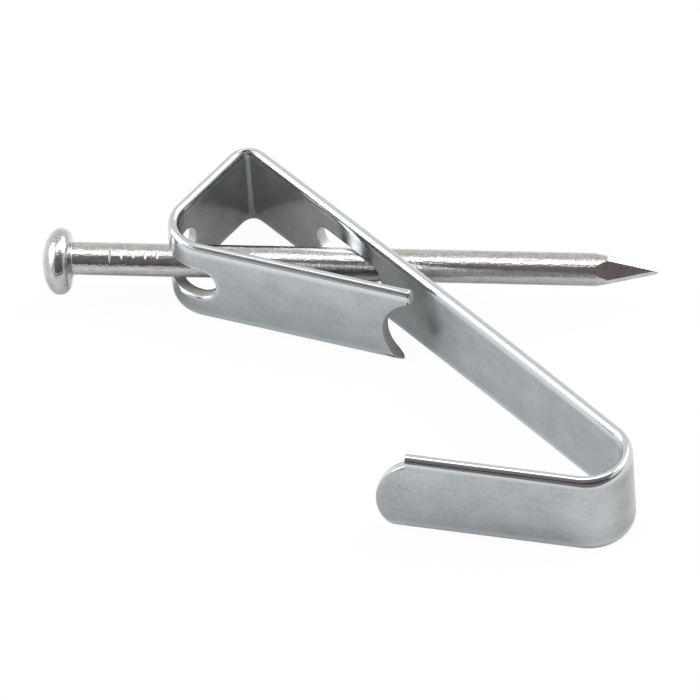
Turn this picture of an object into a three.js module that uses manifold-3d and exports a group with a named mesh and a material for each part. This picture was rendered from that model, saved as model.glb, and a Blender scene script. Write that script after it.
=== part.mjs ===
// A picture hanger: one flat steel strip bent into a nail guide and a hook, and the wire nail that holds it.
// Millimetres. The strip lies on one of its long edges: +X runs down its back leg from the top bend to the
// hook, +Y points into the wall and +Z crosses the strip's width. The origin is the middle of the back leg's
// wall face, where the leg's slight bow stands out furthest.
import * as THREE from 'three';
import { mergeVertices } from 'three/addons/utils/BufferGeometryUtils.js';
import Module from 'manifold-3d';

// The strip
const stripWidth = 6.35;
const stripThickness = 0.8;
const edgeRoundReach = 0.55;        // how far the rounded long edges reach across the width
const backLegLength = 44.5;         // legs are measured on the centreline, corner to corner
const backBowRise = 0.115;          // how far the back leg bows towards the wall between its bends
const shortLegLength = 10.4;
const frontLegLength = 18;          // front corner to the tips of the hollow end
const lipLength = 21.28;            // hook corner to the crown of the round end
const topAngle = 78;                // degrees between two legs, inside the bend
const frontAngle = 73;
const hookAngle = 36.2;
const topBendRadius = 0.8;          // inside radii
const topCreaseRadius = 0.35;       // the inside of the top bend is struck sharper, which thins the strip there
const frontBendRadius = 2.1;
const hookBendRadius = 2.2;
const endCutRadius = 4.1;           // one round shear makes the hollow end and the next strip's round end
const endCutLean = 0.3;             // the sheared wall leans this far along the strip through its thickness
const hollowCutDrop = 0.37;         // how far below mid-width the shear sits at each end
const lipCutDrop = 0.8;

// The two punched nail slots
const slotLength = 6.4;
const frontSlotStretch = 0.3;       // the bend draws the front slot out by this much towards its tips
const slotClearance = 0.2;          // between the nail and each long side of a slot
const slotRimDepth = 0.18;          // the punch draws the rim of a slot down on the strip's outer face
const slotRimReach = 0.14;
const backSlotPlace = 10.45;        // top corner to the middle of the slot in the back leg

// The nail
const nailDiameter = 2.17;
const nailLength = 38.5;            // under the head to the tip
const headDiameter = 4.4;
const headDomeHeight = 1.15;
const headUnderHeight = 0.7;        // from the head's widest ring down to the start of the neck
const headUnderDiameter = 3.2;
const headShift = 0.155;            // the head is upset off the shank's axis, this much both sideways and down
const neckHeight = 0.25;
const gripMarkStart = 2.65;         // under the head to the first notch that the wire's gripping dies leave
const gripMarkSpacing = 0.78;
const gripMarkDepth = 0.1;
const gripMarkDepthShares = [1.2, 0.9, 0.4, 0.6, 0.5]; // the notches are not all as deep
const gripMarkRoll = 62;            // degrees from the mid-width plane to the side that the notches are in
const pointAngle = 12;              // degrees between the axis and each of the four cut facets
const pointBlunting = 0.95;         // the facets would meet this far beyond the blunt tip
const pointRoll = 42;               // degrees that the facets are turned about the axis
const nailAngle = 44.3;             // degrees between the nail and the back leg
const nailCrossing = 11.46;         // top corner to where the nail's axis crosses the back leg
const nailStandOff = 6.45;          // head's underside to the front bend, measured along the nail

// How finely round shapes are divided
const edgeSteps = 6;
const faceSteps = 10;
const bendStepAngle = 6;            // degrees
const bowSteps = 7;                 // an odd number, so that one facet lies on the origin
const slotEndSteps = 8;
const rimSteps = 3;
const rimOverrunShare = 0.25;       // how much of its depth a rim's cut runs on past the face
const nailSides = 40;
const domeSteps = 10;
const neckSteps = 4;
const overrun = 0.5;                // how far a punch runs past each face that it cuts

const rad = THREE.MathUtils.degToRad;
const wasm = await Module();
wasm.setup();

// Turns a closed geometry into a solid that can be joined and cut.
function toSolid(geometry) {
  const bare = geometry.clone();
  bare.deleteAttribute('normal');
  bare.deleteAttribute('uv');
  const merged = mergeVertices(bare);
  return new wasm.Manifold(new wasm.Mesh({
    numProp: 3,
    vertProperties: new Float32Array(merged.attributes.position.array),
    triVerts: new Uint32Array(merged.index.array),
  }));
}

// Turns a solid back into a geometry with flat-shaded faces.
function toGeometry(solid) {
  const mesh = solid.getMesh();
  const geometry = new THREE.BufferGeometry();
  geometry.setAttribute('position', new THREE.BufferAttribute(new Float32Array(mesh.vertProperties), 3));
  geometry.setIndex(new THREE.BufferAttribute(new Uint32Array(mesh.triVerts), 1));
  geometry.computeVertexNormals();
  return geometry;
}

const along = (heading) => new THREE.Vector2(Math.cos(heading), Math.sin(heading));
const across = (heading) => new THREE.Vector2(-Math.sin(heading), Math.cos(heading));

const tangentLength = (turn, radius) => radius * Math.tan(turn / 2);

// A bend of the strip's centreline at a corner, always to the right. at(distance) gives the place, the heading
// and the way to the inner face at a distance along the centreline from the bend's middle, and runs on straight
// along both legs. The crease is the inner face's own rounding, where that is sharper than the bend.
function makeBend(corner, headingIn, headingOut, insideRadius, creaseRadius = insideRadius) {
  const turn = headingIn - headingOut;
  const radius = insideRadius + stripThickness / 2;
  const tangent = tangentLength(turn, radius);
  const half = radius * turn / 2;
  const centre = corner.clone()
    .addScaledVector(along(headingIn), -tangent)
    .addScaledVector(across(headingIn), -radius);
  const creaseCentre = (insideRadius - creaseRadius) / Math.cos(turn / 2);
  const creaseEnd = Math.atan2(
    creaseRadius * Math.sin(turn / 2),
    creaseCentre + creaseRadius * Math.cos(turn / 2),
  );
  const innerReach = (angle) => (angle < creaseEnd
    ? creaseCentre * Math.cos(angle) + Math.sqrt(creaseRadius ** 2 - (creaseCentre * Math.sin(angle)) ** 2)
    : insideRadius / Math.cos(turn / 2 - angle));
  const at = (distance) => {
    const onArc = THREE.MathUtils.clamp(distance, -half, half);
    const heading = (headingIn + headingOut) / 2 - onArc / radius;
    const place = centre.clone()
      .addScaledVector(across(heading), radius)
      .addScaledVector(along(heading), distance - onArc);
    return { place, heading, inner: radius - innerReach(Math.abs(onArc) / radius) };
  };
  return { half, tangent, centre, radius, steps: Math.ceil(turn / rad(bendStepAngle)), at };
}

// The headings of the four legs, in order from the hollow front end to the round lip end.
const backHeading = 0;
const shortHeading = backHeading + Math.PI - rad(topAngle);
const frontHeading = shortHeading + Math.PI - rad(frontAngle);
const lipHeading = backHeading - Math.PI + rad(hookAngle);

// The back leg between its two bends. Its bow's middle facet puts the wall face on the origin.
const topTangent = tangentLength(shortHeading - backHeading, topBendRadius + stripThickness / 2);
const hookTangent = tangentLength(backHeading - lipHeading, hookBendRadius + stripThickness / 2);
const bowSpan = backLegLength - topTangent - hookTangent;
const bowHeight = (share) => 4 * backBowRise * share * (1 - share);
const legLevel = -stripThickness / 2 - bowHeight((bowSteps - 1) / (2 * bowSteps));

// The place and heading at a distance along the back leg from the end of the top bend.
function bowAt(distance) {
  const share = distance / bowSpan;
  const slope = 4 * backBowRise * (1 - 2 * share) / bowSpan;
  const place = new THREE.Vector2(distance - bowSpan / 2, legLevel + bowHeight(share));
  return { place, heading: backHeading + Math.atan(slope), inner: stripThickness / 2 };
}

// The three bends, at the corners where the legs' straight lines meet.
const topCorner = new THREE.Vector2(-bowSpan / 2 - topTangent, legLevel);
const hookCorner = new THREE.Vector2(bowSpan / 2 + hookTangent, legLevel);
const frontCorner = topCorner.clone().addScaledVector(along(shortHeading), -shortLegLength);
const frontBend = makeBend(frontCorner, frontHeading, shortHeading, frontBendRadius);
const topBend = makeBend(topCorner, shortHeading, backHeading, topBendRadius, topCreaseRadius);
const hookBend = makeBend(hookCorner, backHeading, lipHeading, hookBendRadius);
const frontEnd = frontBend.half + frontLegLength - frontBend.tangent;
const lipEnd = hookBend.half + lipLength - hookTangent;

// A point of the strip: a station of the centreline, an offset through the thickness, which grows towards the
// outer face, and a height across the width.
function stripPoint(station, offset, height) {
  const thinning = offset < 0 ? 2 * station.inner / stripThickness : 1;
  const flat = station.place.clone().addScaledVector(across(station.heading), offset * thinning);
  return new THREE.Vector3(flat.x, flat.y, height);
}

// The levels of the strip's cross-section from its upper edge to its lower one, each with half its thickness
// there: two flat faces between rounded long edges.
function sectionLevels() {
  const flat = stripWidth / 2 - edgeRoundReach;
  const levels = [];
  for (let i = 0; i < edgeSteps; i += 1) {
    const turn = Math.PI / 2 * (1 - i / edgeSteps);
    levels.push({ height: flat + edgeRoundReach * Math.sin(turn), half: stripThickness / 2 * Math.cos(turn) });
  }
  for (let i = 0; i <= faceSteps; i += 1) {
    levels.push({ height: flat * (1 - 2 * i / faceSteps), half: stripThickness / 2 });
  }
  for (let i = edgeSteps - 1; i >= 0; i -= 1) {
    levels.push({ height: -levels[i].height, half: levels[i].half });
  }
  return levels;
}

// A ring of points round the section. place gives the station for each height and offset, so a ring can follow
// a cut.
function sectionRing(place) {
  const levels = sectionLevels();
  const point = (offset, height) => stripPoint(place(height, offset), offset, height);
  const down = levels.map(({ height, half }) => point(-half, height));
  const up = levels.slice(1, -1).reverse().map(({ height, half }) => point(half, height));
  return [...down, ...up];
}

// How far the end shear's round edge lies from its own centre at a height on the strip.
const shearReach = (height, drop) => Math.sqrt(endCutRadius ** 2 - (height + drop) ** 2);
const tipReach = Math.sqrt(endCutRadius ** 2 - (stripWidth / 2) ** 2);
const shearLean = (offset) => endCutLean * offset / stripThickness;

function bendRings(bend) {
  const rings = [];
  for (let i = 0; i <= bend.steps; i += 1) {
    const station = bend.at(bend.half * (2 * i / bend.steps - 1));
    rings.push(sectionRing(() => station));
  }
  return rings;
}

// The rings inside the bowed back leg. The bends on both sides give its first and last ring.
function bowRings() {
  const rings = [];
  for (let i = 1; i < bowSteps; i += 1) {
    const station = bowAt(bowSpan * i / bowSteps);
    rings.push(sectionRing(() => station));
  }
  return rings;
}

// The rings along the strip, from the hollow front end to the round lip end.
function stripRings() {
  const hollowStart = -frontEnd - tipReach;
  const lipStart = lipEnd - endCutRadius;
  return [
    sectionRing((height, offset) => (
      frontBend.at(hollowStart + shearReach(height, hollowCutDrop) - shearLean(offset)))),
    ...bendRings(frontBend),
    ...bendRings(topBend),
    ...bowRings(),
    ...bendRings(hookBend),
    sectionRing((height, offset) => (
      hookBend.at(lipStart + shearReach(height, lipCutDrop) - shearLean(offset)))),
  ];
}

// Skins a row of rings, each with as many points, and closes both ends with bands across the ring.
function skin(rings) {
  const count = rings[0].length;
  const positions = rings.flat().flatMap((p) => [p.x, p.y, p.z]);
  const index = [];
  for (let r = 0; r + 1 < rings.length; r += 1) {
    for (let i = 0; i < count; i += 1) {
      const a = r * count + i;
      const b = r * count + (i + 1) % count;
      index.push(a, b, a + count, b, b + count, a + count);
    }
  }
  const last = (rings.length - 1) * count;
  for (let i = 0; i < count / 2; i += 1) {
    const [a, b, c, d] = [i, i + 1, count - i - 1, (count - i) % count];
    if (b !== c) index.push(a, c, b, last + a, last + b, last + c);
    if (a !== d) index.push(a, d, c, last + a, last + c, last + d);
  }
  const geometry = new THREE.BufferGeometry();
  geometry.setAttribute('position', new THREE.Float32BufferAttribute(positions, 3));
  geometry.setIndex(index);
  return geometry;
}

// A slot's outline as a closed loop of distances along the strip and heights across it, opened out by rim.
const slotHalfHeight = nailDiameter / 2 + slotClearance;
function slotOutline(length, rim) {
  const half = slotHalfHeight + rim;
  const slotStraight = length / 2 - slotHalfHeight;
  const middleSteps = Math.ceil(2 * slotStraight / (frontBend.radius * rad(bendStepAngle)));
  const upper = [];
  for (let i = 0; i <= slotEndSteps; i += 1) {
    const turn = Math.PI / 2 * i / slotEndSteps;
    upper.push({ distance: -slotStraight - half * Math.cos(turn), height: half * Math.sin(turn) });
  }
  for (let i = 1; i < middleSteps; i += 1) {
    upper.push({ distance: slotStraight * (2 * i / middleSteps - 1), height: half });
  }
  for (let i = slotEndSteps; i >= 0; i -= 1) {
    const turn = Math.PI / 2 * i / slotEndSteps;
    upper.push({ distance: slotStraight + half * Math.cos(turn), height: half * Math.sin(turn) });
  }
  const lower = upper.slice(1, -1).reverse().map(({ distance, height }) => ({ distance, height: -height }));
  return [...upper, ...lower];
}

// The punch for a slot: the slot's outline at levels through the strip, opening out towards the outer face.
// at gives the strip's station at a distance from the slot's middle.
function slotPunch(length, at) {
  const face = stripThickness / 2;
  const levels = [{ offset: -face - overrun, rim: 0 }];
  for (let i = 0; i <= rimSteps; i += 1) {
    const share = (1 + rimOverrunShare) * i / rimSteps;
    levels.push({ offset: face - slotRimDepth * (1 - share), rim: slotRimReach * share ** 2 });
  }
  levels.push({ offset: face + overrun, rim: levels.at(-1).rim });
  return skin(levels.map(({ offset, rim }) => slotOutline(length, rim)
    .map(({ distance, height }) => stripPoint(at(distance), offset, height))));
}

function makeStrip() {
  const backSlotMiddle = backSlotPlace - topTangent;
  const frontLength = slotLength + frontSlotStretch;
  const frontPunch = slotPunch(frontLength, (distance) => frontBend.at(distance - frontSlotStretch / 2));
  const backPunch = slotPunch(slotLength, (distance) => bowAt(backSlotMiddle + distance));
  return toSolid(skin(stripRings())).subtract(toSolid(frontPunch)).subtract(toSolid(backPunch));
}

// The nail's turned outline: a domed head, its rounded underside, a hollow neck and the shank.
// It stands on its head's crown, and height grows towards the tip.
const headHeight = headDomeHeight + headUnderHeight;
function nailProfile() {
  const rim = headDiameter / 2;
  const under = headUnderDiameter / 2;
  const shank = nailDiameter / 2;
  const points = [];
  for (let i = 0; i <= domeSteps; i += 1) {
    const turn = Math.PI / 2 * i / domeSteps;
    points.push([rim * Math.sin(turn), headDomeHeight * (1 - Math.cos(turn))]);
  }
  for (let i = 1; i <= neckSteps; i += 1) {
    const turn = Math.PI / 2 * i / neckSteps;
    points.push([under + (rim - under) * Math.cos(turn), headDomeHeight + headUnderHeight * Math.sin(turn)]);
  }
  for (let i = 1; i <= neckSteps; i += 1) {
    const turn = Math.PI / 2 * i / neckSteps;
    points.push([under - (under - shank) * Math.sin(turn), headHeight + neckHeight * (1 - Math.cos(turn))]);
  }
  points.push([shank, headHeight + nailLength], [0, headHeight + nailLength]);
  return points.map(([x, y]) => new THREE.Vector2(x, y));
}

// Shifts the head of a turned nail off the shank's axis. The shift fades out along the neck.
function shiftHead(geometry) {
  const place = geometry.attributes.position;
  for (let i = 0; i < place.count; i += 1) {
    const fade = THREE.MathUtils.smoothstep(place.getY(i), headHeight, headHeight + neckHeight);
    const shift = headShift * (1 - fade);
    place.setXYZ(i, place.getX(i) + shift, place.getY(i), place.getZ(i) - shift);
  }
  return geometry;
}

// One of the four angled cuts that form the point: a block whose near face passes through the place where
// the facets would meet.
function pointCut(quarter) {
  const length = nailDiameter / Math.tan(rad(pointAngle));
  const block = new THREE.BoxGeometry(2 * nailDiameter, 2 * length, 2 * nailDiameter);
  block.translate(nailDiameter, 0, 0);
  block.rotateZ(rad(pointAngle));
  block.rotateY(rad(pointRoll) + quarter * Math.PI / 2);
  block.translate(0, headHeight + nailLength + pointBlunting, 0);
  return block;
}

// A notch of one gripping die: a block laid across the shank with one edge sunk into it.
function gripNotch(place, side, depth) {
  const width = nailDiameter / 4;
  const block = new THREE.BoxGeometry(width, width, nailDiameter);
  block.rotateZ(Math.PI / 4);
  block.translate(side * (nailDiameter / 2 + width * Math.SQRT1_2 - depth), place, 0);
  block.rotateY(-rad(gripMarkRoll));
  return block;
}

function makeNail() {
  let nail = toSolid(shiftHead(new THREE.LatheGeometry(nailProfile(), nailSides)));
  gripMarkDepthShares.forEach((share, mark) => {
    const place = headHeight + gripMarkStart + mark * gripMarkSpacing;
    const depth = gripMarkDepth * share;
    nail = nail.subtract(toSolid(gripNotch(place, 1, depth))).subtract(toSolid(gripNotch(place, -1, depth)));
  });
  for (let quarter = 0; quarter < 4; quarter += 1) {
    nail = nail.subtract(toSolid(pointCut(quarter)));
  }
  return nail;
}

// Where the nail lies: its axis runs through the slot in the front bend and crosses the back leg, and its
// head stands off the bend's outer face.
function placeNail(mesh) {
  const heading = rad(nailAngle);
  const crossing = new THREE.Vector2(topCorner.x + nailCrossing, topCorner.y);
  const bendReach = crossing.clone().sub(frontBend.centre).dot(along(heading));
  const outer = frontBend.radius + stripThickness / 2;
  const underside = -bendReach - outer - nailStandOff;
  const crown = crossing.clone().addScaledVector(along(heading), underside - headHeight);
  mesh.position.set(crown.x, crown.y, 0);
  mesh.rotation.z = heading - Math.PI / 2;
}

const stripMesh = new THREE.Mesh(
  toGeometry(makeStrip()),
  new THREE.MeshStandardMaterial({ color: 0xa9adb0, roughness: 0.35, metalness: 1 }),
);
stripMesh.name = 'bent_strip';

const nailMesh = new THREE.Mesh(
  toGeometry(makeNail()),
  new THREE.MeshStandardMaterial({ color: 0xc4c5c3, roughness: 0.15, metalness: 1 }),
);
nailMesh.name = 'nail';
placeNail(nailMesh);

const pictureHanger = new THREE.Group();
pictureHanger.name = 'picture_hanger';
pictureHanger.add(stripMesh, nailMesh);

export default pictureHanger;
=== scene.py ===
"""Looks of a picture hanger: a bent zinc-plated steel strip and its wire nail, lying on a pale studio floor.

The pieces are modelled in millimetres by the steps of their making, and the strip stays flat until it is bent
along a curve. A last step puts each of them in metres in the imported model's frame.
"""

from __future__ import annotations

import logging
from contextlib import contextmanager
from dataclasses import dataclass, field, replace
from enum import Enum
from math import atan2, ceil, cos, hypot, pi, radians, sin, sqrt, tan
from typing import Callable, Iterator

import bmesh
import bpy
from bpy.types import Material, Node, NodeSocket, Object, World
from mathutils import Matrix, Vector

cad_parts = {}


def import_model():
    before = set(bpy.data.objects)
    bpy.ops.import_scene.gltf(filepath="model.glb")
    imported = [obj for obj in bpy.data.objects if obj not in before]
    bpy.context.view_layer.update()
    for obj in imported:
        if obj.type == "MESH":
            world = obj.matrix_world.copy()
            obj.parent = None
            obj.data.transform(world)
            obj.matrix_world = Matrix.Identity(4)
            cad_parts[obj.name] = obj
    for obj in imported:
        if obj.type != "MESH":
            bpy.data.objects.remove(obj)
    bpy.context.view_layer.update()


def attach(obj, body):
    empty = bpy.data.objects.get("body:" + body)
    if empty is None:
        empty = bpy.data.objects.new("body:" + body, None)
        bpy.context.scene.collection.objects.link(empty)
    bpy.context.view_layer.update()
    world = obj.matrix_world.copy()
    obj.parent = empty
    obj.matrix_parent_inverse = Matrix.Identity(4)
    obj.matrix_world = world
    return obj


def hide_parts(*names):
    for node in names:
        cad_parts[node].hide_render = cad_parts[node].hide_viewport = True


log = logging.getLogger("picture_hanger")

METRES = 0.001  # one millimetre
HAIR = 0.001  # places nearer than this share of a shape's size count as the same
WELD = 0.0005  # millimetres within which doubled points are merged


def linear(hex_colour: str) -> tuple[float, float, float, float]:
    """Turns an sRGB hex colour into the linear colour that a shader takes.

    Args:
        hex_colour: The colour as "#RRGGBB".

    Returns:
        Linear red, green and blue, and an alpha of 1.
    """
    def channel(start: int) -> float:
        """One channel of the colour, made linear."""
        value = int(hex_colour[start:start + 2], 16) / 255
        return value / 12.92 if value <= 0.04045 else ((value + 0.055) / 1.055) ** 2.4

    return channel(1), channel(3), channel(5), 1.0


def select_only(piece: Object) -> None:
    """Selects one piece and nothing else, and makes it the active one.

    Args:
        piece: The piece.
    """
    bpy.ops.object.select_all(action="DESELECT")
    piece.select_set(True)
    bpy.context.view_layer.objects.active = piece


@contextmanager
def editing(piece: Object, choice: str = "DESELECT") -> Iterator[None]:
    """Opens a piece in edit mode, and closes it again.

    Args:
        piece: The piece.
        choice: DESELECT starts with nothing selected, and SELECT with all of it.
    """
    select_only(piece)
    bpy.ops.object.mode_set(mode="EDIT")
    bpy.ops.mesh.select_all(action=choice)
    try:
        yield
    finally:
        bpy.ops.object.mode_set(mode="OBJECT")


class Part(Enum):
    """What a selection is made of."""

    POINTS = "VERT"
    EDGES = "EDGE"


def pick(test: Callable[[Vector], bool], part: Part = Part.POINTS) -> None:
    """Selects by place in the piece that is open in edit mode.

    Args:
        test: Whether a point's place, or an edge's middle, is wanted.
        part: What is selected.
    """
    bpy.ops.mesh.select_all(action="DESELECT")
    bpy.ops.mesh.select_mode(type=part.value)
    data = bpy.context.edit_object.data
    mesh = bmesh.from_edit_mesh(data)
    if part is Part.POINTS:
        found = [(item, item.co) for item in mesh.verts]
    else:
        found = [(item, (item.verts[0].co + item.verts[1].co) / 2) for item in mesh.edges]
    for item, place in found:
        item.select_set(test(place))
    mesh.select_flush_mode()
    bmesh.update_edit_mesh(data)


def primitive() -> Object:
    """The primitive that was just added, with its place written into its mesh."""
    bpy.ops.object.transform_apply()
    return bpy.context.object


def disc(points: int, radius: float, **where: tuple[float, float, float]) -> Object:
    """Adds a flat disc, at a location or with a rotation."""
    bpy.ops.mesh.primitive_circle_add(vertices=points, radius=radius, fill_type="NGON", **where)
    return primitive()


def move_all(*distance: float) -> None:
    """Selects all of the piece that is open in edit mode and moves it."""
    bpy.ops.mesh.select_all(action="SELECT")
    bpy.ops.transform.translate(value=distance)


def extrude(*distance: float) -> None:
    """Extrudes what is selected by a distance."""
    bpy.ops.mesh.extrude_region_move(TRANSFORM_OT_translate={"value": distance})


def resize(*factors: float, centre: tuple[float, float, float] = (0, 0, 0)) -> None:
    """Scales what is selected along x, y and z about a centre."""
    bpy.ops.transform.resize(value=factors, center_override=centre)


def towards(heading: float) -> Vector:
    """The direction of a heading, in radians, as the strip is seen from its upper long edge."""
    return Vector((cos(heading), sin(heading), 0))


def apply_modifier(piece: Object, kind: str, **settings: object) -> None:
    """Adds a modifier to a piece and applies it.

    Args:
        piece: The piece.
        kind: Blender's name for its kind.
        settings: Its settings by name.
    """
    modifier = piece.modifiers.new(kind.lower(), kind)
    for name, value in settings.items():
        setattr(modifier, name, value)
    select_only(piece)
    bpy.ops.object.modifier_apply(modifier=modifier.name)


def cut(piece: Object, cutter: Object, operation: str = "DIFFERENCE") -> None:
    """Cuts a piece with a cutter, which is used up.

    Args:
        piece: The piece.
        cutter: The cutter.
        operation: DIFFERENCE takes the cutter away, INTERSECT keeps what lies inside it and UNION adds it.
    """
    apply_modifier(piece, "BOOLEAN", object=cutter, operation=operation, solver="EXACT")
    bpy.data.objects.remove(cutter)


def close_and_turn_out(piece: Object) -> None:
    """Merges doubled points of a piece and turns its faces outwards.

    Args:
        piece: The piece.
    """
    with editing(piece, "SELECT"):
        bpy.ops.mesh.remove_doubles(threshold=WELD)
        bpy.ops.mesh.normals_make_consistent(inside=False)


def settle(piece: Object, place: Matrix, smooth_angle: float) -> None:
    """Puts a finished piece in the model's frame, in metres, and smooths its shading.

    Args:
        piece: The piece, modelled in millimetres.
        place: Where it goes, in millimetres.
        smooth_angle: Edges sharper than this many degrees stay crisp.
    """
    select_only(piece)
    piece.matrix_world = Matrix.Scale(METRES, 4) @ place
    bpy.ops.object.transform_apply()
    bpy.ops.object.shade_smooth_by_angle(angle=radians(smooth_angle))


class Shader:
    """The node tree of a material or world while it is being laid out."""

    def __init__(self, owner: Material | World) -> None:
        """Empties the tree.

        Args:
            owner: The new material or world.
        """
        owner.use_nodes = True
        self.owner = owner
        self.tree = owner.node_tree
        self.tree.nodes.clear()

    def add(self, kind: str, links: dict | None = None, **settings: object) -> Node:
        """Adds one node.

        Args:
            kind: The node's type, without its ShaderNode prefix.
            links: For each input, by name or number, what feeds it: an output, a node for that node's first
                output, or a value.
            settings: The node's own settings by name.

        Returns:
            The new node.
        """
        node = self.tree.nodes.new("ShaderNode" + kind)
        for name, value in settings.items():
            setattr(node, name, value)
        for socket, source in (links or {}).items():
            if isinstance(source, Node):
                source = source.outputs[0]
            if isinstance(source, NodeSocket):
                self.tree.links.new(source, node.inputs[socket])
            else:
                node.inputs[socket].default_value = source
        return node


@dataclass(frozen=True)
class Slot:
    """A punched slot: where its middle lies along the flat strip and how large it is."""

    middle: float
    length: float
    height: float
    drop: float = 0.0  # how far its middle lies below mid-width


@dataclass(frozen=True)
class Shear:
    """A round shear of a strip end: where its deepest point lies along the flat strip, and its shape."""

    crown: float
    radius: float
    drop: float  # how far its middle lies below mid-width
    lean: float  # how much further along it cuts the inner face than the outer one
    dip: float = 0.0  # how much lower it cuts the inner face
    foot: tuple[float, float] | None = None  # length and height of its lower quarter, where that isn't round

    @property
    def centre(self) -> float:
        """Where the middle of its round lies along the strip."""
        return self.crown - self.radius

    def off(self, place: Vector, thickness: float) -> float:
        """Measures how far a place on the strip lies from the sheared wall.

        Args:
            place: The place on the flat strip.
            thickness: The strip's thickness.

        Returns:
            The distance, negative inside the round. Along an oval foot it comes out larger than it is.
        """
        along = place.x + self.lean * place.y / thickness - self.centre
        across = place.z + self.drop - self.dip * place.y / thickness
        if self.foot and across < 0:
            along = self.radius + (along - self.radius) * self.radius / self.foot[0]
            across *= self.radius / self.foot[1]
        return hypot(along, across) - self.radius if along > 0 else -self.radius


@dataclass(frozen=True)
class Coat:
    """A part of a piece where its surface differs."""

    where: Node
    colour: str
    roughness: float


@dataclass(frozen=True)
class ZincFinish:
    """Bright zinc plating on cold-rolled steel.

    The plating is a pale, slightly bluish metal. It copies the steel under it: soft and cloudy on the rolled
    faces, and bright where the edges were rolled or a die slid over it. Sizes in millimetres.
    """

    name: str
    colour: str
    cloud_colour: str
    roughness: float
    cloud_size: float = 2.4  # across one cloud of the plating
    grain_size: float = 0.17  # across one grain; finer ones wouldn't show
    grain_height: float = 0.008
    grain_share: float = 0.35  # how much of the pattern is grain
    streak_length: float = 3.0  # along a streak that rolling or drawing left
    streak_width: float = 0.5
    streak_share: float = 0.2  # how much of the rest is streaks; the clouds have what is left
    streak_height: float = 0.0
    bump_strength: float = 0.3
    tones: tuple[float, float] = (0.38, 0.62)  # the pattern's values where the two colours are full
    glosses: tuple[float, float] = (0.35, 0.65)  # and where the roughness has its ends
    gloss_factors: tuple[float, float] = (1.12, 0.9)

    def start(self) -> tuple[Shader, NodeSocket, Node]:
        """Starts the material. It reads where each point lay on the blank, so its pattern follows the metal.

        Returns:
            Its tree, the place on the blank and the separated place.
        """
        shader = Shader(bpy.data.materials.new(self.name))
        place = shader.add("Attribute", attribute_name="flat").outputs["Vector"]
        return shader, place, shader.add("SeparateXYZ", {"Vector": place})

    def metal(self, shader: Shader, place: NodeSocket, *coats: Coat) -> Material:
        """Lays out the plating and ends the material.

        Args:
            shader: The material's tree.
            place: Places on the surface, in millimetres, with x along the rolling direction.
            coats: Where the surface differs from the open faces.

        Returns:
            The material.
        """
        clouds = shader.add("TexNoise", {
            "Vector": place, "Scale": 1 / self.cloud_size, "Detail": 4.0, "Roughness": 0.55})
        stretch = (1 / self.streak_length, 1 / self.streak_width, 1 / self.streak_width)
        streaks = shader.add("Mapping", {"Vector": place, "Scale": stretch})
        streaks = shader.add("TexNoise", {"Vector": streaks, "Scale": 1.0, "Detail": 3.0})
        grain = shader.add("TexNoise", {"Vector": place, "Scale": 1 / self.grain_size})
        mixed = shader.add("Mix", {0: self.streak_share, 2: clouds, 3: streaks})
        mixed = shader.add("Mix", {0: self.grain_share, 2: mixed, 3: grain})
        colour = shader.add("ValToRGB", {"Fac": mixed})
        for stop, value, tone in zip(colour.color_ramp.elements, self.tones, (self.cloud_colour, self.colour)):
            stop.position = value
            stop.color = linear(tone)
        rough, smooth = (self.roughness * factor for factor in self.gloss_factors)
        gloss = shader.add("MapRange", {"Value": mixed, "From Min": self.glosses[0], "From Max": self.glosses[1],
                                        "To Min": rough, "To Max": smooth})
        for coat in coats:
            gloss = shader.add("Mix", {0: coat.where, 2: gloss, 3: coat.roughness})
            colour = shader.add("Mix", {0: coat.where, 6: colour, 7: linear(coat.colour)},
                                data_type="RGBA").outputs[2]
        bump = shader.add("Bump", {"Height": grain, "Strength": self.bump_strength,
                                   "Distance": self.grain_height * METRES})
        if self.streak_height:
            bump = shader.add("Bump", {"Height": streaks, "Strength": self.bump_strength, "Normal": bump,
                                       "Distance": self.streak_height * METRES})
        metal = shader.add("BsdfPrincipled", {
            "Base Color": colour, "Metallic": 1.0, "Roughness": gloss, "Normal": bump})
        shader.add("OutputMaterial", {"Surface": metal})
        return shader.owner


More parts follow.
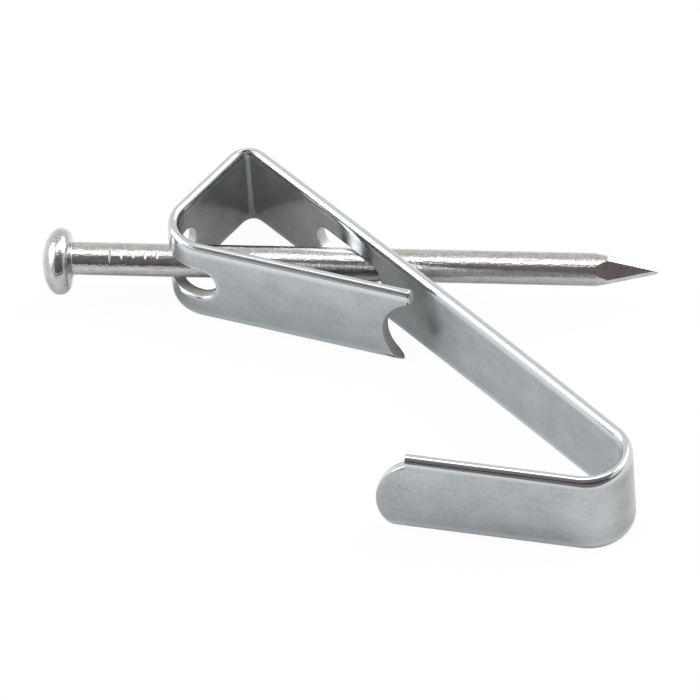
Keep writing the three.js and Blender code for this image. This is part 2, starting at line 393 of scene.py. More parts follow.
@dataclass(frozen=True)
class StripZinc(ZincFinish):
    """The strip's plating: cloudy on the flat faces, bright on the rolled long edges, dull on sheared walls."""

    bright_colour: str = "#C6C8C9"
    bright_roughness: float = 0.13
    bright_fade: tuple[float, float] = (0.1, 0.4)  # how far into a rolled edge it starts and is full
    torn_colour: str = "#C8C7C3"  # the torn steel of a sheared wall takes the plating dull and less blue
    torn_roughness: float = 0.55
    torn_fade: tuple[float, float] = (0.06, 0.12)  # how deep under the rolled surface it starts and is full
    rim_reach: float = 0.22  # how far from a slot the sliding punch burnished the face
    rim_fade: float = 0.12
    rim_level: float = 0.1  # the rims are above this level, on the outer face

    def torn(self, shader: Shader, parts: Node, height: Node, strip: BentStrip) -> Node:
        """Says whether a place is in a sheared wall: 1 there, 0 on the strip's rolled surface.

        Args:
            shader: The material's tree.
            parts: The separated place on the flat strip.
            height: How far the place is from mid-width.
            strip: The strip, for its section.

        Returns:
            The node with the answer.
        """
        beyond = shader.add("MapRange", {"Value": height, "From Min": strip.width / 2 - strip.edge_reach,
                                         "From Max": strip.width / 2})
        depth = shader.add("Math", {0: beyond, 1: strip.edge_fullness}, operation="POWER")
        depth = shader.add("Math", {0: 1.0, 1: depth}, operation="SUBTRACT")
        level = shader.add("Math", {0: parts.outputs["Y"]}, operation="ABSOLUTE")
        for operation, value in (("SQRT", 0.0), ("MULTIPLY", strip.thickness / 2), ("SUBTRACT", level)):
            depth = shader.add("Math", {0: depth, 1: value}, operation=operation)
        start, full = self.torn_fade
        return shader.add("MapRange", {"Value": depth, "From Min": start, "From Max": full})

    def near_slot(self, shader: Shader, parts: Node, slot: Slot) -> Node:
        """Says how near a place is to a slot: 1 in its drawn rim, 0 on the open face.

        Args:
            shader: The material's tree.
            parts: The separated place on the flat strip.
            slot: The slot.

        Returns:
            The node with the answer.
        """
        along = parts.outputs["X"]
        for operation, value in (("SUBTRACT", slot.middle), ("ABSOLUTE", 0.0),
                                 ("SUBTRACT", slot.length / 2 - slot.height / 2), ("MAXIMUM", 0.0)):
            along = shader.add("Math", {0: along, 1: value}, operation=operation)
        across = shader.add("Math", {0: parts.outputs["Z"], 1: slot.drop}, operation="ADD")
        apart = shader.add("CombineXYZ", {"X": along, "Y": across})
        apart = shader.add("VectorMath", {0: apart}, operation="LENGTH")
        edge = slot.height / 2 + self.rim_reach
        near = shader.add("MapRange", {"Value": apart.outputs["Value"], "From Min": edge,
                                       "From Max": edge + self.rim_fade, "To Min": 1.0, "To Max": 0.0})
        outside = shader.add("Math", {0: parts.outputs["Y"], 1: self.rim_level}, operation="GREATER_THAN")
        return shader.add("Math", {0: near, 1: outside}, operation="MULTIPLY")

    def build(self, strip: BentStrip, slots: tuple[Slot, ...]) -> Material:
        """Makes the material.

        Args:
            strip: The strip, for its section.
            slots: The slots, whose rims are burnished.

        Returns:
            The material.
        """
        shader, place, parts = self.start()
        height = shader.add("Math", {0: parts.outputs["Z"]}, operation="ABSOLUTE")
        start, full = (strip.width / 2 - strip.edge_reach + reach for reach in self.bright_fade)
        bright = shader.add("MapRange", {"Value": height, "From Min": start, "From Max": full})
        for slot in slots:
            rim = self.near_slot(shader, parts, slot)
            bright = shader.add("Math", {0: bright, 1: rim}, operation="MAXIMUM")
        torn = self.torn(shader, parts, height, strip)
        return self.metal(shader, place, Coat(bright, self.bright_colour, self.bright_roughness),
                          Coat(torn, self.torn_colour, self.torn_roughness))


@dataclass(frozen=True)
class NailZinc(ZincFinish):
    """The nail's plating: bright all over, with the fine marks of wire drawing, and frosted grip marks with a
    painted highlight.
    """

    # the grip marks are rough, and their near-white colour is a painted highlight
    frosted_highlight_colour: str = "#EDEDEB"
    frosted_roughness: float = 0.6
    frosted_highlight_fade: tuple[float, float] = (0.02, 0.005)  # how deep in a mark it is full and ends

    def build(self, radius: float, start: float, end: float) -> Material:
        """Makes the material.

        Args:
            radius: The shank's radius.
            start: Where the grip marks start along the nail.
            end: Where they end.

        Returns:
            The material.
        """
        shader, place, parts = self.start()
        across = shader.add("CombineXYZ", {"X": parts.outputs["Y"], "Y": parts.outputs["Z"]})
        across = shader.add("VectorMath", {0: across}, operation="LENGTH")
        full, none = (radius - depth for depth in self.frosted_highlight_fade)
        sunk = shader.add("MapRange", {"Value": across.outputs["Value"], "From Min": full, "From Max": none,
                                       "To Min": 1.0, "To Max": 0.0})
        where = parts.outputs["X"]
        for operation, value in (("SUBTRACT", (start + end) / 2), ("ABSOLUTE", 0.0),
                                 ("LESS_THAN", (end - start) / 2), ("MULTIPLY", sunk)):
            where = shader.add("Math", {0: where, 1: value}, operation=operation)
        # the grip marks take their rough finish and the near-white colour of their painted highlight
        return self.metal(shader, place, Coat(where, self.frosted_highlight_colour, self.frosted_roughness))


def remember_place(piece: Object, long_axis: int) -> None:
    """Writes each point's present place, in millimetres, into the piece's "flat" attribute.

    Args:
        piece: The piece, before it is bent or put in place.
        long_axis: The axis along which the metal was rolled or drawn. It is stored first.
    """
    attribute = piece.data.attributes.new("flat", "FLOAT_VECTOR", "POINT")
    for point, entry in zip(piece.data.vertices, attribute.data):
        entry.vector = [point.co[(long_axis + step) % 3] for step in range(3)]


@dataclass(frozen=True)
class Stretch:
    """A stretch of the strip's centreline: straight, or bent to the right."""

    length: float
    turn: float = 0.0  # radians over the whole stretch

    def stations(self, finest: float = 3.0, coarsest: float = 1.2) -> int:
        """How many steps it has, each of no more than so many degrees and so many millimetres."""
        return max(1, ceil(max(abs(self.turn) / radians(finest), self.length / coarsest)))


@dataclass
class BentStrip:
    """The strip: flat steel with rolled edges, sheared, punched and bent. Sizes in millimetres and degrees."""

    width: float = 6.35
    thickness: float = 0.8
    edge_reach: float = 0.9  # how far a rolled edge reaches in from the side
    edge_fullness: float = 3.27  # 2 gives the edge an oval section, and more a fuller one
    back_leg: float = 44.5
    back_bow: float = 0.115
    bow_flats: int = 7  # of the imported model's bow; the middle one is its wall face
    short_leg: float = 10.4
    front_leg: float = 18.0
    lip: float = 21.28
    top_angle: float = 78
    front_angle: float = 73
    hook_angle: float = 36.2
    top_radius: float = 0.8
    top_crease: float = 0.35  # the radius that the top bend's inside is struck to
    front_radius: float = 2.1
    hook_radius: float = 2.2
    hollow_shear: Shear = Shear(1.82, 3.1, 0.72, -0.1)
    hollow_tip: float = -0.2  # where the blunt tip above the hollow ends
    lip_shear: Shear = Shear(0, 3.8, 1.0, 0.08, 0.3, (1.45, 2.27))  # its crown is where the strip ends
    shoulder: float = 2.13  # how far before the lip's crown the shear leaves the strip's upper edge whole
    roll_over: float = 0.13
    tip_roll_over: float = 0.208
    edge_break: float = 0.04
    break_angle: float = 38  # edges sharper than this are broken
    smooth_angle: float = 32
    slot_length: float = 6.4
    slot_height: float = 2.46
    front_slot_stretch: float = 0.3
    front_slot_drop: float = 0.1
    rim_depth: float = 0.18
    rim_reach: float = 0.14
    back_slot_place: float = 10.45
    overrun: float = 0.5  # how far blanks and cutters reach past what is cut
    section_points: int = 48
    shear_points: int = 160
    slot_points: int = 40
    shear_slack: float = 0.01  # how far a facet may lie off a shear's true round
    surface_slack: float = 0.012  # and off the strip's true surface
    finish: StripZinc = field(default_factory=lambda: StripZinc(
        "bright_zinc_on_rolled_strip", "#B8B9BA", "#A3A5A7", roughness=0.22))

    @property
    def tangents(self) -> list[float]:
        """How far the bends reach along their legs from the legs' corner.

        Returns:
            The front bend's reach, the top bend's and the hook bend's.
        """
        bends = ((self.front_angle, self.front_radius), (self.top_angle, self.top_radius),
                 (self.hook_angle, self.hook_radius))
        return [(radius + self.thickness / 2) * tan((pi - radians(angle)) / 2) for angle, radius in bends]

    @property
    def headings(self) -> tuple[float, float]:
        """The headings of the short leg and of the front leg, in radians."""
        short = pi - radians(self.top_angle)
        return short, short + pi - radians(self.front_angle)

    @property
    def corners(self) -> tuple[Vector, Vector]:
        """Where the legs' centrelines would meet.

        Returns:
            The corner at the top bend and the one at the front bend.
        """
        _, top, hook = self.tangents
        level = -self.thickness / 2 - self.back_bow * (1 - 1 / self.bow_flats ** 2)
        at_top = Vector((-(self.back_leg - top - hook) / 2 - top, level, 0))
        return at_top, at_top - self.short_leg * towards(self.headings[0])

    def path(self) -> list[Stretch]:
        """Lays out the centreline.

        Returns:
            Its stretches, from the hollow front end to the round lip end.
        """
        front, top, hook = self.tangents
        span = self.back_leg - top - hook
        lean = 4 * self.back_bow / span

        def bend(angle: float, inside: float, less: float = 0.0) -> Stretch:
            """A bend between two legs at an inside angle, turned less by what the bow turns."""
            turn = pi - radians(angle) - less
            return Stretch((inside + self.thickness / 2) * turn, turn)

        return [
            Stretch(self.front_leg - front),
            bend(self.front_angle, self.front_radius),
            Stretch(self.short_leg - front - top),
            bend(self.top_angle, self.top_radius, lean),
            Stretch(span, 2 * lean),
            bend(self.hook_angle, self.hook_radius, lean),
            Stretch(self.lip - hook),
        ]

    def flat_places(self) -> tuple[list[float], float, float, float]:
        """Works out where things lie along the flat strip.

        Returns:
            The cross lines that the blank is divided at, the middles of the front bend and of the back slot, and
            the crown of the round end.
        """
        path = self.path()
        lines, start = [0.0], 0.0
        for stretch in path:
            steps = stretch.stations()
            lines += [start + stretch.length * step / steps for step in range(1, steps + 1)]
            start += stretch.length
        front_middle = path[0].length + path[1].length / 2
        back_slot = sum(stretch.length for stretch in path[:4]) + self.back_slot_place - self.tangents[1]
        return lines, front_middle, back_slot, start

    def blank(self, lines: list[float]) -> Object:
        """Makes the flat strip, longer than it will be at both ends, with a ring of edges at each line.

        Args:
            lines: Distances along the strip.

        Returns:
            The blank, with x along it, y through its thickness towards the outer face and z across it.
        """
        half = self.thickness / 2
        near = half * HAIR
        piece = disc(self.section_points, half, rotation=(0, pi / 2, 0))
        with editing(piece):
            for step in range(1, self.section_points // 4 + 1):
                share = sin(2 * pi * step / self.section_points)
                pick(lambda place: abs(abs(place.z) - half * share) < near)
                grow = self.edge_reach / half * share ** (2 / self.edge_fullness - 1)
                resize(1, 1, grow)
            before = lines[0] - 2 * self.overrun
            move_all(before, 0, 0)
            for side in (1, -1):
                pick(lambda place: place.z * side > near)
                bpy.ops.transform.translate(value=(0, 0, side * (self.width / 2 - self.edge_reach)))
            bpy.ops.mesh.select_all(action="SELECT")
            for line in [*lines, lines[-1] + self.overrun]:
                extrude(line - before, 0, 0)
                before = line
        close_and_turn_out(piece)
        return piece

    def strike_crease(self, piece: Object, lines: list[float]) -> None:
        """Thins the inside of the strip where the top bend is struck sharper than its outside.

        Args:
            piece: The blank.
            lines: Distances along the strip where it has rings of points.
        """
        radius = self.top_radius + self.thickness / 2
        half_turn = (pi - radians(self.top_angle)) / 2
        path = self.path()
        middle = sum(stretch.length for stretch in path[:3]) + path[3].length / 2
        offset = (self.top_radius - self.top_crease) / cos(half_turn)
        across, along = self.top_crease * sin(half_turn), self.top_crease * cos(half_turn)
        crease_end = atan2(across, offset + along)
        with editing(piece):
            for line in lines:
                turn = abs(line - middle) / radius
                if turn >= half_turn:
                    continue
                if turn < crease_end:
                    reach = sqrt(self.top_crease ** 2 - (offset * sin(turn)) ** 2)
                    reach += offset * cos(turn)
                else:
                    reach = self.top_radius / cos(half_turn - turn)
                pick(lambda place: place.y < 0 and abs(place.x - line) < radius * HAIR)
                resize(1, 2 * (radius - reach) / self.thickness, 1)

    def roll_edges_over(self, piece: Object, shears: tuple[Shear, ...]) -> None:
        """Rounds the edges of the outer face at both sheared ends, where the shear pressed them down.

        Args:
            piece: The sheared strip.
            shears: The two shears.
        """
        def on_outer_edge(place: Vector) -> bool:
            """Whether a place is on a shear's edge in the outer half of the strip."""
            return place.y > self.thickness / 8 and self.on_surface(place) and any(
                abs(shear.off(place, self.thickness)) < self.shear_slack for shear in shears)

        with editing(piece):
            pick(on_outer_edge, Part.EDGES)
            bpy.ops.mesh.bevel(offset=self.roll_over, segments=4, affect="EDGES")
            pick(lambda place: abs(place.x - self.hollow_tip) < HAIR and place.y > 0 and self.on_surface(place),
                 Part.EDGES)
            bpy.ops.mesh.bevel(offset=self.tip_roll_over, segments=4, affect="EDGES")

    def on_surface(self, place: Vector) -> bool:
        """Tells the strip's rolled surface from its sheared walls.

        Args:
            place: A place on the flat strip.

        Returns:
            Whether it lies on the rolled surface.
        """
        beyond = max(0.0, abs(place.z) - self.width / 2 + self.edge_reach) / self.edge_reach
        full = self.thickness / 2 * sqrt(max(0.0, 1 - beyond ** self.edge_fullness))
        return abs(abs(place.y) - full) < self.surface_slack

    def shear(self, shape: Shear, tail: float) -> Object:
        """Makes a round shear's cutter.

        Args:
            shape: The shear.
            tail: How far its back half is drawn out along the strip, or 0.

        Returns:
            The cutter.
        """
        near = shape.radius * HAIR
        bpy.ops.mesh.primitive_cylinder_add(vertices=self.shear_points, radius=shape.radius,
                                            depth=2 * self.thickness, rotation=(pi / 2, 0, 0))
        cutter = primitive()
        with editing(cutter):
            pick(lambda place: place.x < -near)
            bpy.ops.transform.translate(value=(-tail, 0, 0))
            if shape.foot:
                pick(lambda place: place.x > near and place.z < -near)
                length, height = (size / shape.radius for size in shape.foot)
                resize(length, 1, height, centre=(shape.radius, 0, 0))
            for side in (-1, 1):
                pick(lambda place: place.y * side > 0)
                bpy.ops.transform.translate(value=(-side * shape.lean, 0, side * shape.dip))
            move_all(shape.centre, 0, -shape.drop)
        return cutter

    def lip_form(self, shape: Shear) -> Object:
        """Makes the form that the strip is kept in: the lip's round, with a box for the upper edge's shoulder.

        Args:
            shape: The lip's shear.

        Returns:
            The form.
        """
        form = self.shear(shape, shape.crown + self.overrun)
        length = shape.crown - self.shoulder + 2 * self.overrun
        bpy.ops.mesh.primitive_cube_add(size=1, location=(length / 2 - 2 * self.overrun, 0, self.width / 2))
        upper_edge = bpy.context.object
        upper_edge.scale = (length, 2.2 * self.thickness, self.width)
        bpy.ops.object.transform_apply()
        cut(form, upper_edge, "UNION")
        return form

    def punch(self, slot: Slot) -> Object:
        """Makes the punch of one slot, which draws the rim of the outer face down around it.

        Args:
            slot: The slot.

        Returns:
            The punch.
        """
        half, face = slot.height / 2, self.thickness / 2
        straight = slot.length / 2 - half
        punch = disc(self.slot_points, half, rotation=(pi / 2, 0, 0))
        with editing(punch):
            for side in (-1, 1):
                pick(lambda place: place.x * side > half * HAIR)
                bpy.ops.transform.translate(value=(side * straight, 0, 0))
            pick(lambda place: abs(place.x) < straight, Part.EDGES)
            bpy.ops.mesh.subdivide(number_cuts=12)
            before, opened = -face - self.overrun, 0.0
            move_all(0, before, 0)
            for share in (0.0, 0.25, 0.5, 0.75, 1.0, 1.25):
                level = face - self.rim_depth * (1 - share)
                reach = self.rim_reach * share ** 2
                extrude(0, level - before, 0)
                longer, higher = ((size / 2 + reach) / (size / 2 + opened) for size in (slot.length, slot.height))
                resize(longer, 1, higher)
                before, opened = level, reach
            extrude(0, self.overrun, 0)
            move_all(slot.middle, 0, -slot.drop)
        close_and_turn_out(punch)
        return punch

    def centreline(self) -> Object:
        """Makes the curve that the flat strip is bent along, in the model's place.

        Returns:
            The curve.
        """
        heading = self.headings[1]
        place = self.corners[1] - self.front_leg * towards(heading)
        points = [place]
        for stretch in self.path():
            steps = 4 * stretch.stations()
            half_turn = stretch.turn / steps / 2
            chord = stretch.length / steps
            if half_turn:
                chord *= sin(half_turn) / half_turn
            for _ in range(steps):
                heading -= half_turn
                place = place + chord * towards(heading)
                heading -= half_turn
                points.append(place)
        curve = bpy.data.curves.new("centreline", "CURVE")
        curve.dimensions = "2D"
        curve.twist_mode = "Z_UP"
        curve.use_deform_bounds = False
        spline = curve.splines.new("POLY")
        spline.points.add(len(points) - 1)
        for target, point in zip(spline.points, points):
            target.co = (*point, 1)
        line = bpy.data.objects.new("centreline", curve)
        bpy.context.scene.collection.objects.link(line)
        return line

    def build(self) -> Object:
        """Shears, punches, bends and dresses the strip.

        Returns:
            The finished piece.
        """
        lines, front_middle, back_slot, crown = self.flat_places()
        lip_shear = replace(self.lip_shear, crown=crown)
        slots = (Slot(front_middle - self.front_slot_stretch / 2, self.slot_length + self.front_slot_stretch,
                      self.slot_height, self.front_slot_drop),
                 Slot(back_slot, self.slot_length, self.slot_height))
        piece = self.blank(lines)
        cut(piece, self.shear(self.hollow_shear, 0))
        with editing(piece, "SELECT"):
            bpy.ops.mesh.bisect(plane_co=(self.hollow_tip, 0, 0), plane_no=(-1, 0, 0),
                                use_fill=True, clear_outer=True)
        cut(piece, self.lip_form(lip_shear), "INTERSECT")
        for slot in slots:
            cut(piece, self.punch(slot))
        close_and_turn_out(piece)
        self.roll_edges_over(piece, (self.hollow_shear, lip_shear))
        apply_modifier(piece, "BEVEL", width=self.edge_break, segments=2, limit_method="ANGLE",
                       angle_limit=radians(self.break_angle))
        with editing(piece):  # what the bevels pushed out goes back to the strip's side
            pick(lambda place: place.z < -self.width / 2)
            resize(1, 1, 0, centre=(0, 0, -self.width / 2))
        remember_place(piece, long_axis=0)
        self.strike_crease(piece, lines)
        line = self.centreline()
        apply_modifier(piece, "CURVE", object=line, deform_axis="POS_X")
        bpy.data.objects.remove(line)
        settle(piece, Matrix.Identity(4), self.smooth_angle)
        piece.name = "zinc_strip"
        piece.data.materials.append(self.finish.build(self, slots))
        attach(piece, "strip")
        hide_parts("bent_strip")
        return piece


@dataclass
class WireNail:
    """The nail: drawn wire with upset head, grip marks and pinched point. Sizes in millimetres and degrees."""

    diameter: float = 2.17
    length: float = 38.5
    head_diameter: float = 4.4
    dome_height: float = 1.15
    under_height: float = 0.7
    under_diameter: float = 3.2
    head_shift: float = 0.155  # how far off the axis the head was upset, along x and along y
    neck_height: float = 0.25
    mark_start: float = 2.65
    mark_spacing: float = 0.78
    mark_depths: tuple[float, ...] = (0.2, 0.07, 0.035, 0.05, 0.045)
    mark_roll: float = 62
    mark_width: float = 0.17
    mark_margin: float = 0.4  # how far before the first mark and after the last one the frosting and its painted highlight may reach
    point_angle: float = 12
    point_blunting: float = 0.95
    point_roll: float = 49
    ridge_angle: float = 16.7
    ridge_blunting: float = 0.375
    angle: float = 44.3  # between the nail and the back leg
    crossing: float = 11.46  # where it crosses the back leg, from the top corner
    stand_off: float = 6.45  # how far its head stands off the front bend
    points_around: int = 96
    smooth_angle: float = 10.5
    finish: NailZinc = field(default_factory=lambda: NailZinc(
        "bright_zinc_on_drawn_wire", "#C2C2C0", "#A3A19D", roughness=0.13, grain_size=0.13, grain_height=0.08,
        cloud_size=0.7, streak_length=2.5, streak_width=0.13, streak_share=0.5, streak_height=0.04))

    @property
    def head_height(self) -> float:
        """From the crown to the head's underside."""
        return self.dome_height + self.under_height

    def rings(self) -> list[tuple[float, float, float]]:
        """Lays out the turned outline, from the crown down.

        Returns:
            For each ring its height from the crown, its radius and how far it is shifted off the axis.
        """
        def quarter(steps: int) -> list[float]:
            """The angles of a quarter turn's steps."""
            return [pi / 2 * step / steps for step in range(1, steps + 1)]

        rim, under, shank = self.head_diameter / 2, self.under_diameter / 2, self.diameter / 2
        rings = []
        for turn in quarter(18):
            rings.append((self.dome_height * (1 - cos(turn)), rim * sin(turn), self.head_shift))
        for turn in quarter(14):
            rings.append((self.dome_height + self.under_height * sin(turn),
                          under + (rim - under) * cos(turn), self.head_shift))
        for turn in quarter(12):
            fade = 1 - cos(turn)
            rings.append((self.head_height + self.neck_height * fade, under - (under - shank) * sin(turn),
                          self.head_shift * (1 - fade * fade * (3 - 2 * fade))))
        rings.append((self.head_height + self.length, shank, 0.0))
        return rings

    def turned(self) -> Object:
        """Makes the nail upright on its crown, before its marks and point.

        Returns:
            The nail, with z from the crown to the tip.
        """
        rings = self.rings()
        height, radius, off = rings[0]
        piece = disc(self.points_around, radius, location=(off, off, height))
        with editing(piece, "SELECT"):
            for next_height, next_radius, next_off in rings[1:]:
                extrude(next_off - off, next_off - off, next_height - height)
                size = next_radius / radius
                resize(size, size, 1, centre=(next_off, next_off, next_height))
                height, radius, off = next_height, next_radius, next_off
        close_and_turn_out(piece)
        return piece

    def notch(self, height: float, depth: float, side: int) -> Object:
        """Makes the cutter of one grip mark, a bar laid across the shank with one edge sunk into it.

        Args:
            height: Where the mark lies along the nail.
            depth: How far it is sunk into the shank.
            side: 1 or -1, the side of the shank.

        Returns:
            The cutter.
        """
        bar = self.diameter / 4
        reach = side * (self.diameter / 2 + bar * sqrt(0.5) - depth)
        on_edge = Matrix.Rotation(pi / 4, 4, "Y") @ Matrix.Diagonal((bar, self.diameter, bar, 1))
        narrowed = Matrix.Translation((reach, 0, height)) @ Matrix.Diagonal((1, 1, self.mark_width / 2 / depth, 1))
        bpy.ops.mesh.primitive_cube_add(size=1)
        cutter = bpy.context.object
        for step in (on_edge, Matrix.Rotation(-radians(self.mark_roll), 4, "Z") @ narrowed):
            cutter.matrix_world = step
            bpy.ops.object.transform_apply()
        return cutter

    def pinch_point(self, piece: Object) -> None:
        """Cuts the four facets of the point, and the narrow flats that the dies leave on the ridges among them.

        Args:
            piece: The turned nail.
        """
        for cut_number in range(8):
            ridge = cut_number % 2
            beyond = self.ridge_blunting if ridge else self.point_blunting
            apex = Vector((0, 0, self.head_height + self.length + beyond))
            lean = radians(self.ridge_angle if ridge else self.point_angle)
            roll = radians(self.point_roll) + cut_number * pi / 4
            facing = cos(lean) * towards(roll) + Vector((0, 0, sin(lean)))
            with editing(piece, "SELECT"):
                bpy.ops.mesh.bisect(plane_co=apex, plane_no=facing, use_fill=True, clear_outer=True)

    def place(self, strip: BentStrip) -> Matrix:
        """Works out where the nail lies in the strip: through the front slot and across the back leg.

        Args:
            strip: The strip.

        Returns:
            The nail's place, in millimetres.
        """
        along = towards(radians(self.angle))
        front = strip.headings[1]
        at_top, at_front = strip.corners
        radius = strip.front_radius + strip.thickness / 2
        bend = at_front - strip.tangents[0] * towards(front) + radius * towards(front - pi / 2)
        crossing = at_top + Vector((self.crossing, 0, 0))
        reach = (crossing - bend).dot(along) + radius + strip.thickness / 2
        crown = crossing - along * (reach + self.stand_off + self.head_height)
        return Matrix((
            (along.y, 0, along.x, crown.x),
            (-along.x, 0, along.y, crown.y),
            (0, -1, 0, 0),
            (0, 0, 0, 1),
        ))

    def build(self, strip: BentStrip) -> Object:
        """Turns, marks, points and dresses the nail, and lays it in the strip.

        Args:
            strip: The strip.

        Returns:
            The finished piece.
        """
        piece = self.turned()
        self.pinch_point(piece)
        heights = [self.head_height + self.mark_start + mark * self.mark_spacing
                   for mark in range(len(self.mark_depths))]
        for height, depth in zip(heights, self.mark_depths):
            for side in (1, -1):
                cut(piece, self.notch(height, depth, side))
        close_and_turn_out(piece)
        remember_place(piece, long_axis=2)
        settle(piece, self.place(strip), self.smooth_angle)
        piece.name = "wire_nail"
        piece.data.materials.append(self.finish.build(
            self.diameter / 2, heights[0] - self.mark_margin, heights[-1] + self.mark_margin))
        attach(piece, "nail")
        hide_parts("nail")
        return piece


@dataclass(frozen=True)
class SoftBox:
    """A soft box that faces the object. Its place and its sides are in metres."""

    name: str
    place: tuple[float, float, float]
    size: tuple[float, float]
    level: float  # how bright its face is, where white paper in a plain white room is 1
    roll: float = 0.0  # degrees that it is turned about its own facing
    colour: tuple[float, float, float] = (1, 1, 1)

    def hang(self) -> None:
        """Hangs it in the scene."""
        light = bpy.data.lights.new(self.name, "AREA")
        light.shape = "RECTANGLE"
        light.size, light.size_y = self.size
        light.energy = self.level * pi * self.size[0] * self.size[1]
        light.color = self.colour
        lamp = bpy.data.objects.new(self.name, light)
        facing = Vector(self.place).to_track_quat("Z", "Y").to_matrix().to_4x4()
        lamp.matrix_world = (Matrix.Translation(self.place) @ facing
                             @ Matrix.Rotation(radians(self.roll), 4, "Z"))
        bpy.context.scene.collection.objects.link(lamp)


@dataclass(frozen=True)
class ShadeCard:
    """A card that only reflections meet, of paper painted from dark to pale: painted shade in the metal's
    reflections. Sizes and places are in metres.
    """

    name: str
    size: tuple[float, float]
    axis: str  # Z shades it by height, X by how far along the floor
    dark: float  # where it is dark
    pale: float  # where it is pale
    # the painted shade's dark and pale tones
    dark_colour: str = "#3A3636"
    pale_colour: str = "#807979"

    def paper(self) -> Material:
        """Makes the card's paper, painted with shade from dark to pale.

        Returns:
            The material.
        """
        shader = Shader(bpy.data.materials.new(self.name + "_paper"))
        place = shader.add("TexCoord")
        parts = shader.add("SeparateXYZ", {"Vector": place.outputs["Object"]})
        share = shader.add("MapRange", {"Value": parts.outputs[self.axis], "From Min": self.dark,
                                        "From Max": self.pale})
        tone = shader.add("Mix", {0: share, 6: linear(self.dark_colour), 7: linear(self.pale_colour)},
                          data_type="RGBA")
        paper = shader.add("BsdfDiffuse", {"Color": tone.outputs[2]})
        shader.add("OutputMaterial", {"Surface": paper})
        return shader.owner

    def put(self, place: Matrix) -> None:
        """Puts the card in the scene.

        Args:
            place: Where it goes.
        """
        bpy.ops.mesh.primitive_grid_add(x_subdivisions=2, y_subdivisions=2, size=1)
        card = bpy.context.object
        card.matrix_world = place @ Matrix.Diagonal((*self.size, 1, 1))
        bpy.ops.object.transform_apply()
        card.name = self.name
        card.data.materials.append(self.paper())
        # only reflections see the card, where it paints shade; it blocks no light and casts no shadow
        card.visible_camera = card.visible_shadow = card.visible_transmission = card.visible_diffuse = False


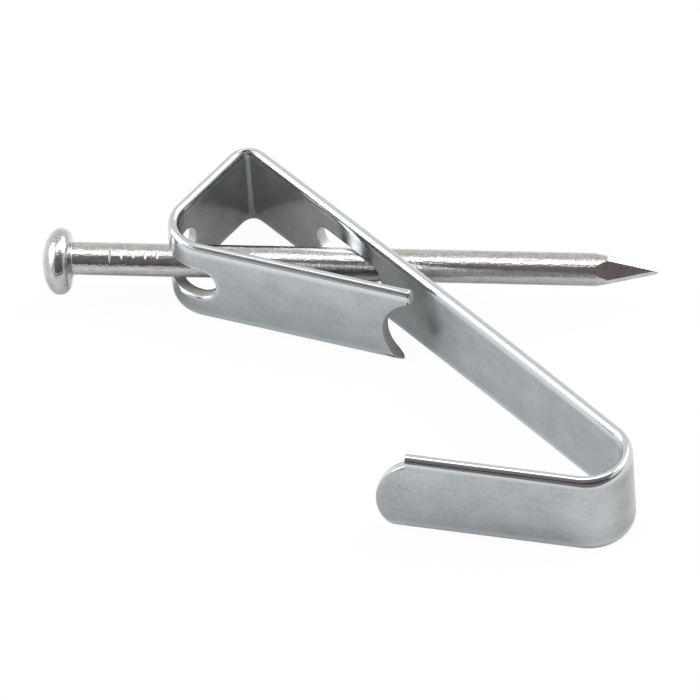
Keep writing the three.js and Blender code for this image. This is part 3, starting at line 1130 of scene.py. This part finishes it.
@dataclass
class Studio:
    """The floor, the cards, the lamps and the camera. Its own sizes are in millimetres and degrees."""

    floor_level: float = -3.175
    floor_size: float = 3000.0
    floor_colour: str = "#F7F7F5"
    floor_glow: float = 0.96  # how much of the floor lights itself, as the camera sees it
    floor_glow_in_metal: float = 0.05
    room_level: float = 0.28
    # painted reflection: a dark card that stands in for the dark room around the camera
    standing_shade_card: ShadeCard = ShadeCard("standing_shade_card", (1.25, 0.86), "Z", 0.06, 0.22)
    standing_card_side: float = -34
    standing_card_rise: float = 36
    standing_card_distance: float = 600.0
    # painted shade: a dark mat that stands in for the shaded floor before the object, as reflections see it
    lying_shade_card: ShadeCard = ShadeCard("lying_shade_card", (0.6, 1.1), "X", 0.09, 0.035)
    lying_card_side: float = -36
    lying_card_distance: float = 327.0
    lying_card_lift: float = 0.1  # over the floor
    lamps: tuple[SoftBox, ...] = (
        SoftBox("overhead_softbox", (-0.045, 0.054, 1.0), (0.39, 0.7), 2.7, roll=-50),
        SoftBox("left_softbox", (-0.65, -0.6, 0.47), (0.75, 0.75), 5.4, colour=(0.84, 0.92, 1.0)),
        SoftBox("back_softbox", (0.16, 0.68, 0.62), (0.75, 0.5), 5.5),
    )
    camera_back: tuple[float, float, float] = (0.5610, -0.4304, 0.7071)  # from the object to the camera
    camera_distance: float = 698.9
    camera_roll: float = -4.5235
    camera_right: float = 6.441
    camera_down: float = -9.203
    lens: float = 543.9

    def floor(self) -> None:
        """Lays the plain pale floor. The camera sees most of it as white paper that lights itself, metal sees a
        little of that, and the rest keeps the object's soft shadow."""
        bpy.ops.mesh.primitive_grid_add(x_subdivisions=4, y_subdivisions=4, size=self.floor_size * METRES,
                                        location=(0, 0, self.floor_level * METRES))
        floor = primitive()
        floor.name = "floor"
        shader = Shader(bpy.data.materials.new("white_paper_sweep"))
        paper = shader.add("BsdfDiffuse", {"Color": linear(self.floor_colour)})
        white = shader.add("Emission")
        path = shader.add("LightPath")
        seen = shader.add("Math", {0: path.outputs["Is Camera Ray"], 1: path.outputs["Is Transmission Ray"]},
                          operation="MAXIMUM")
        seen = shader.add("Math", {0: seen, 1: self.floor_glow}, operation="MULTIPLY")
        share = shader.add("Math", {0: path.outputs["Is Glossy Ray"], 1: self.floor_glow_in_metal, 2: seen},
                           operation="MULTIPLY_ADD")
        both = shader.add("MixShader", {0: share, 1: paper, 2: white})
        shader.add("OutputMaterial", {"Surface": both})
        floor.data.materials.append(shader.owner)

    def cards(self) -> None:
        """Stands a dark card on the viewer's side and lays one before the object. Only reflections see them, and
        they paint the dark bands of reflected shade on polished metal."""
        facing = towards(radians(self.standing_card_side)) * cos(radians(self.standing_card_rise))
        facing.z = sin(radians(self.standing_card_rise))
        self.standing_shade_card.put(Matrix.Translation(facing * self.standing_card_distance * METRES)
                               @ facing.to_track_quat("Z", "Y").to_matrix().to_4x4())
        level = (self.floor_level + self.lying_card_lift) * METRES
        self.lying_shade_card.put(Matrix.Rotation(radians(self.lying_card_side), 4, "Z")
                            @ Matrix.Translation((self.lying_card_distance * METRES, 0, level)))

    def world(self) -> None:
        """Surrounds the scene with a plain pale room, which the camera and reflections see as white."""
        world = bpy.data.worlds.new("pale_room")
        bpy.context.scene.world = world
        shader = Shader(world)
        room = shader.add("Background", {"Color": (1, 1, 1, 1), "Strength": self.room_level})
        white = shader.add("Background", {"Color": (1, 1, 1, 1), "Strength": 1.0})
        path = shader.add("LightPath")
        seen = path.outputs["Is Camera Ray"]
        for kind in ("Is Glossy Ray", "Is Transmission Ray"):
            seen = shader.add("Math", {0: seen, 1: path.outputs[kind]}, operation="MAXIMUM")
        both = shader.add("MixShader", {0: seen, 1: room, 2: white})
        shader.add("OutputWorld", {"Surface": both})

    def camera(self, corner: Vector) -> None:
        """Sets the camera at the photograph's viewing angle.

        Args:
            corner: The point of the strip that the view was measured from, in millimetres.
        """
        back = Vector(self.camera_back).normalized()
        level = Vector((0, 0, 1)).cross(back).normalized()
        upright = back.cross(level)
        roll = radians(self.camera_roll)
        right = level * cos(roll) + upright * sin(roll)
        up = upright * cos(roll) - level * sin(roll)
        place = corner + back * self.camera_distance + right * self.camera_right + up * self.camera_down
        data = bpy.data.cameras.new("camera")
        data.lens = self.lens
        data.sensor_width = 36
        data.clip_start = 0.01
        camera = bpy.data.objects.new("camera", data)
        camera.matrix_world = Matrix.Translation(place * METRES) @ Matrix((right, up, back)).transposed().to_4x4()
        bpy.context.scene.collection.objects.link(camera)
        bpy.context.scene.camera = camera

    def build(self, corner: Vector) -> None:
        """Sets up the whole studio.

        Args:
            corner: The point of the strip that the view was measured from, in millimetres.
        """
        self.floor()
        self.cards()
        self.world()
        for lamp in self.lamps:
            lamp.hang()
        self.camera(corner)
        bpy.context.scene.view_settings.view_transform = "Standard"


def main() -> None:
    """Builds the pieces in order."""
    logging.basicConfig(level=logging.INFO, format="%(name)s: %(message)s")
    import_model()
    strip = BentStrip()
    for piece in (strip.build(), WireNail().build(strip)):
        log.info("%s: %d faces", piece.name, len(piece.data.polygons))
    Studio().build(strip.corners[0] - Vector((0, 0, strip.width / 2)))
    log.info("studio ready")


if __name__ == "__main__":
    main()
